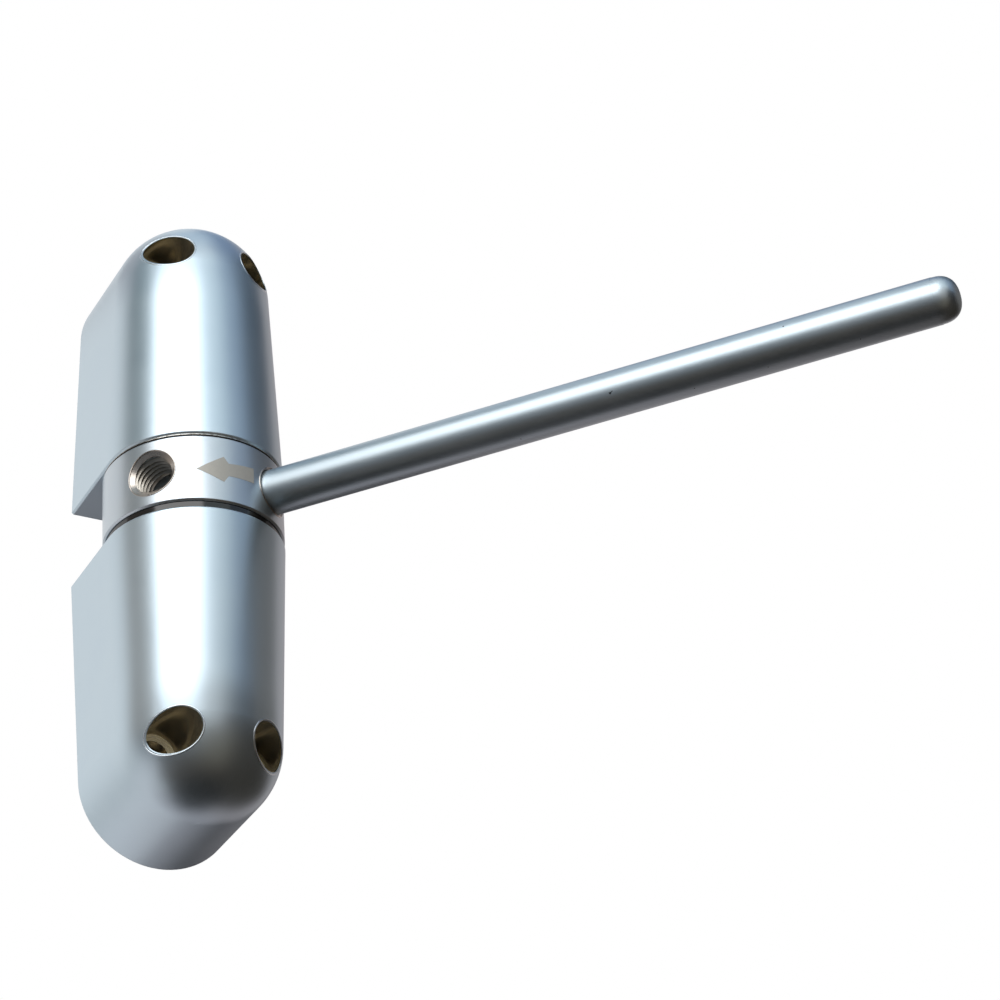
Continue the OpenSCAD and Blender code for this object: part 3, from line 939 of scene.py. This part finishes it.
class CLOSER_OT_stage(bpy.types.Operator):
    """Set up the camera, the lamp, the cards and the floor"""

    bl_idname = "closer.stage"
    bl_label = "Stage"

    def execute(self, context):
        scene, sizes = context.scene, context.scene.closer_stage
        middle = (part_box("upper_housing")[1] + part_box("lower_housing")[0]) / 2
        self.camera(scene, sizes)
        self.lamp(scene, middle, *LAMP)
        for i, (name, (az0, az1, el0, el1, colour)) in enumerate(CARDS.items()):
            self.card(name, middle, sizes.card_r + i * sizes.card_gap, (az0, az1), (el0, el1), colour)
        self.floor(scene, sizes)
        self.world(scene, sizes)
        scene.view_settings.view_transform = "Standard"
        return {"FINISHED"}

    @staticmethod
    def camera(scene, sizes):
        """Camera at the photograph's place, turned about its view."""
        data = bpy.data.cameras.new("camera")
        data.lens, data.sensor_width = sizes.lens, SENSOR
        data.clip_start, data.clip_end = CLIP
        camera = bpy.data.objects.new("camera", data)
        view = Vector(sizes.target) - Vector(sizes.camera)
        camera.rotation_mode = "QUATERNION"
        camera.rotation_quaternion = view.to_track_quat("-Z", "Y") @ Quaternion((0, 0, 1), sizes.roll)
        camera.location = sizes.camera
        scene.collection.objects.link(camera)
        scene.camera = camera

    def lamp(self, scene, middle, azimuth, elevation, away, width, height, power):
        """Soft lamp that faces the middle of the object."""
        data = bpy.data.lights.new("key", "AREA")
        data.shape, data.size, data.size_y = "RECTANGLE", width, height
        data.energy = power
        stand = bpy.data.objects.new("key", data)
        facing = self.direction(azimuth, elevation)
        stand.location = middle + away * facing
        stand.rotation_euler = facing.to_track_quat("Z", "Y").to_euler()
        scene.collection.objects.link(stand)

    @staticmethod
    def floor(scene, sizes):
        """Wide pale board below the object."""
        mesh = bpy.data.meshes.new("floor")
        wide = sizes.floor_w / 2
        flat = ((-wide, -wide), (wide, -wide), (wide, wide), (-wide, wide))
        mesh.from_pydata([(x, y, sizes.floor_z) for x, y in flat], [], [(0, 1, 2, 3)])
        board = bpy.data.objects.new("floor", mesh)
        scene.collection.objects.link(board)
        wear(board, pale_floor())

    @staticmethod
    def direction(azimuth, elevation):
        """Unit vector towards an azimuth and elevation in degrees."""
        a, e = math.radians(azimuth), math.radians(elevation)
        return Vector((math.cos(a) * math.cos(e), math.sin(a) * math.cos(e), math.sin(e)))

    def card(self, name, middle, radius, azimuths, elevations, colour):
        """Card bent round the object, which only mirrored rays see."""
        wide, high = (math.ceil((end - start) / CARD_STEP) for start, end in (azimuths, elevations))
        points = [
            middle + radius * self.direction(azimuth, elevation)
            for elevation in spread(*elevations, high)
            for azimuth in spread(*azimuths, wide)
        ]
        row = wide + 1
        faces = [
            (j * row + i, j * row + i + 1, (j + 1) * row + i + 1, (j + 1) * row + i)
            for j in range(high)
            for i in range(wide)
        ]
        mesh = bpy.data.meshes.new(f"card_{name}")
        mesh.from_pydata(points, [], faces)
        obj = bpy.data.objects.new(f"card_{name}", mesh)
        bpy.context.scene.collection.objects.link(obj)
        made = bpy.data.materials.new(f"Card, {name}")
        made.use_nodes = True
        tree = made.node_tree
        tree.nodes.clear()
        glow = add(tree, "Emission", {"Color": linear(colour), "Strength": 1.0})
        add(tree, "OutputMaterial", {"Surface": glow})
        wear(obj, made)
        obj.visible_camera = obj.visible_diffuse = obj.visible_shadow = obj.visible_transmission = False

    @staticmethod
    def world(scene, sizes):
        """White surroundings in the picture and in the metal, and a plain ambient level on matt surfaces."""
        made = bpy.data.worlds.new("studio")
        made.use_nodes = True
        tree = made.node_tree
        tree.nodes.clear()
        path = add(tree, "LightPath", {}).node.outputs
        seen = add(tree, "Math", {0: path["Is Camera Ray"], 1: path["Is Glossy Ray"]}, operation="MAXIMUM")
        seen = add(tree, "Math", {0: seen, 1: path["Is Transmission Ray"]}, operation="MAXIMUM")
        ambient = add(tree, "Background", {"Color": linear("#e6eaee"), "Strength": sizes.ambient})
        white = add(tree, "Background", {"Color": linear("#ffffff"), "Strength": 1.0})
        add(tree, "OutputWorld", {"Surface": add(tree, "MixShader", {0: seen, 1: ambient, 2: white})})
        scene.world = made


class CLOSER_PT_panel(bpy.types.Panel):
    """Sizes, colours and steps of the door closer"""

    bl_idname = "CLOSER_PT_panel"
    bl_label = "Door closer"
    bl_space_type = "VIEW_3D"
    bl_region_type = "UI"
    bl_category = "Door closer"

    def draw(self, context):
        for name, group in GROUPS.items():
            column = self.layout.column(align=True)
            for value in group.__annotations__:
                column.prop(getattr(context.scene, name), value)
        for operator in OPERATORS:
            self.layout.operator(operator.bl_idname)


GROUPS = {
    "closer_finish": CloserFinish,
    "closer_housing": CloserHousing,
    "closer_collar": CloserCollar,
    "closer_rod": CloserRod,
    "closer_spring": CloserSpring,
    "closer_pin": CloserPin,
    "closer_washer": CloserWasher,
    "closer_stage": CloserStage,
}
OPERATORS = (
    CLOSER_OT_housings,
    CLOSER_OT_collar,
    CLOSER_OT_rod,
    CLOSER_OT_springs,
    CLOSER_OT_pins,
    CLOSER_OT_inner,
    CLOSER_OT_stage,
)


def register():
    for name, group in GROUPS.items():
        bpy.utils.register_class(group)
        setattr(bpy.types.Scene, name, PointerProperty(type=group))
    for operator in OPERATORS:
        bpy.utils.register_class(operator)
    bpy.utils.register_class(CLOSER_PT_panel)


def unregister():
    bpy.utils.unregister_class(CLOSER_PT_panel)
    for operator in reversed(OPERATORS):
        bpy.utils.unregister_class(operator)
    for name, group in reversed(GROUPS.items()):
        delattr(bpy.types.Scene, name)
        bpy.utils.unregister_class(group)


def main():
    register()
    bpy.ops.closer.housings()
    bpy.ops.closer.collar()
    bpy.ops.closer.rod()
    bpy.ops.closer.springs()
    bpy.ops.closer.pins()
    bpy.ops.closer.inner()
    bpy.ops.closer.stage()


if __name__ == "__main__":
    main()
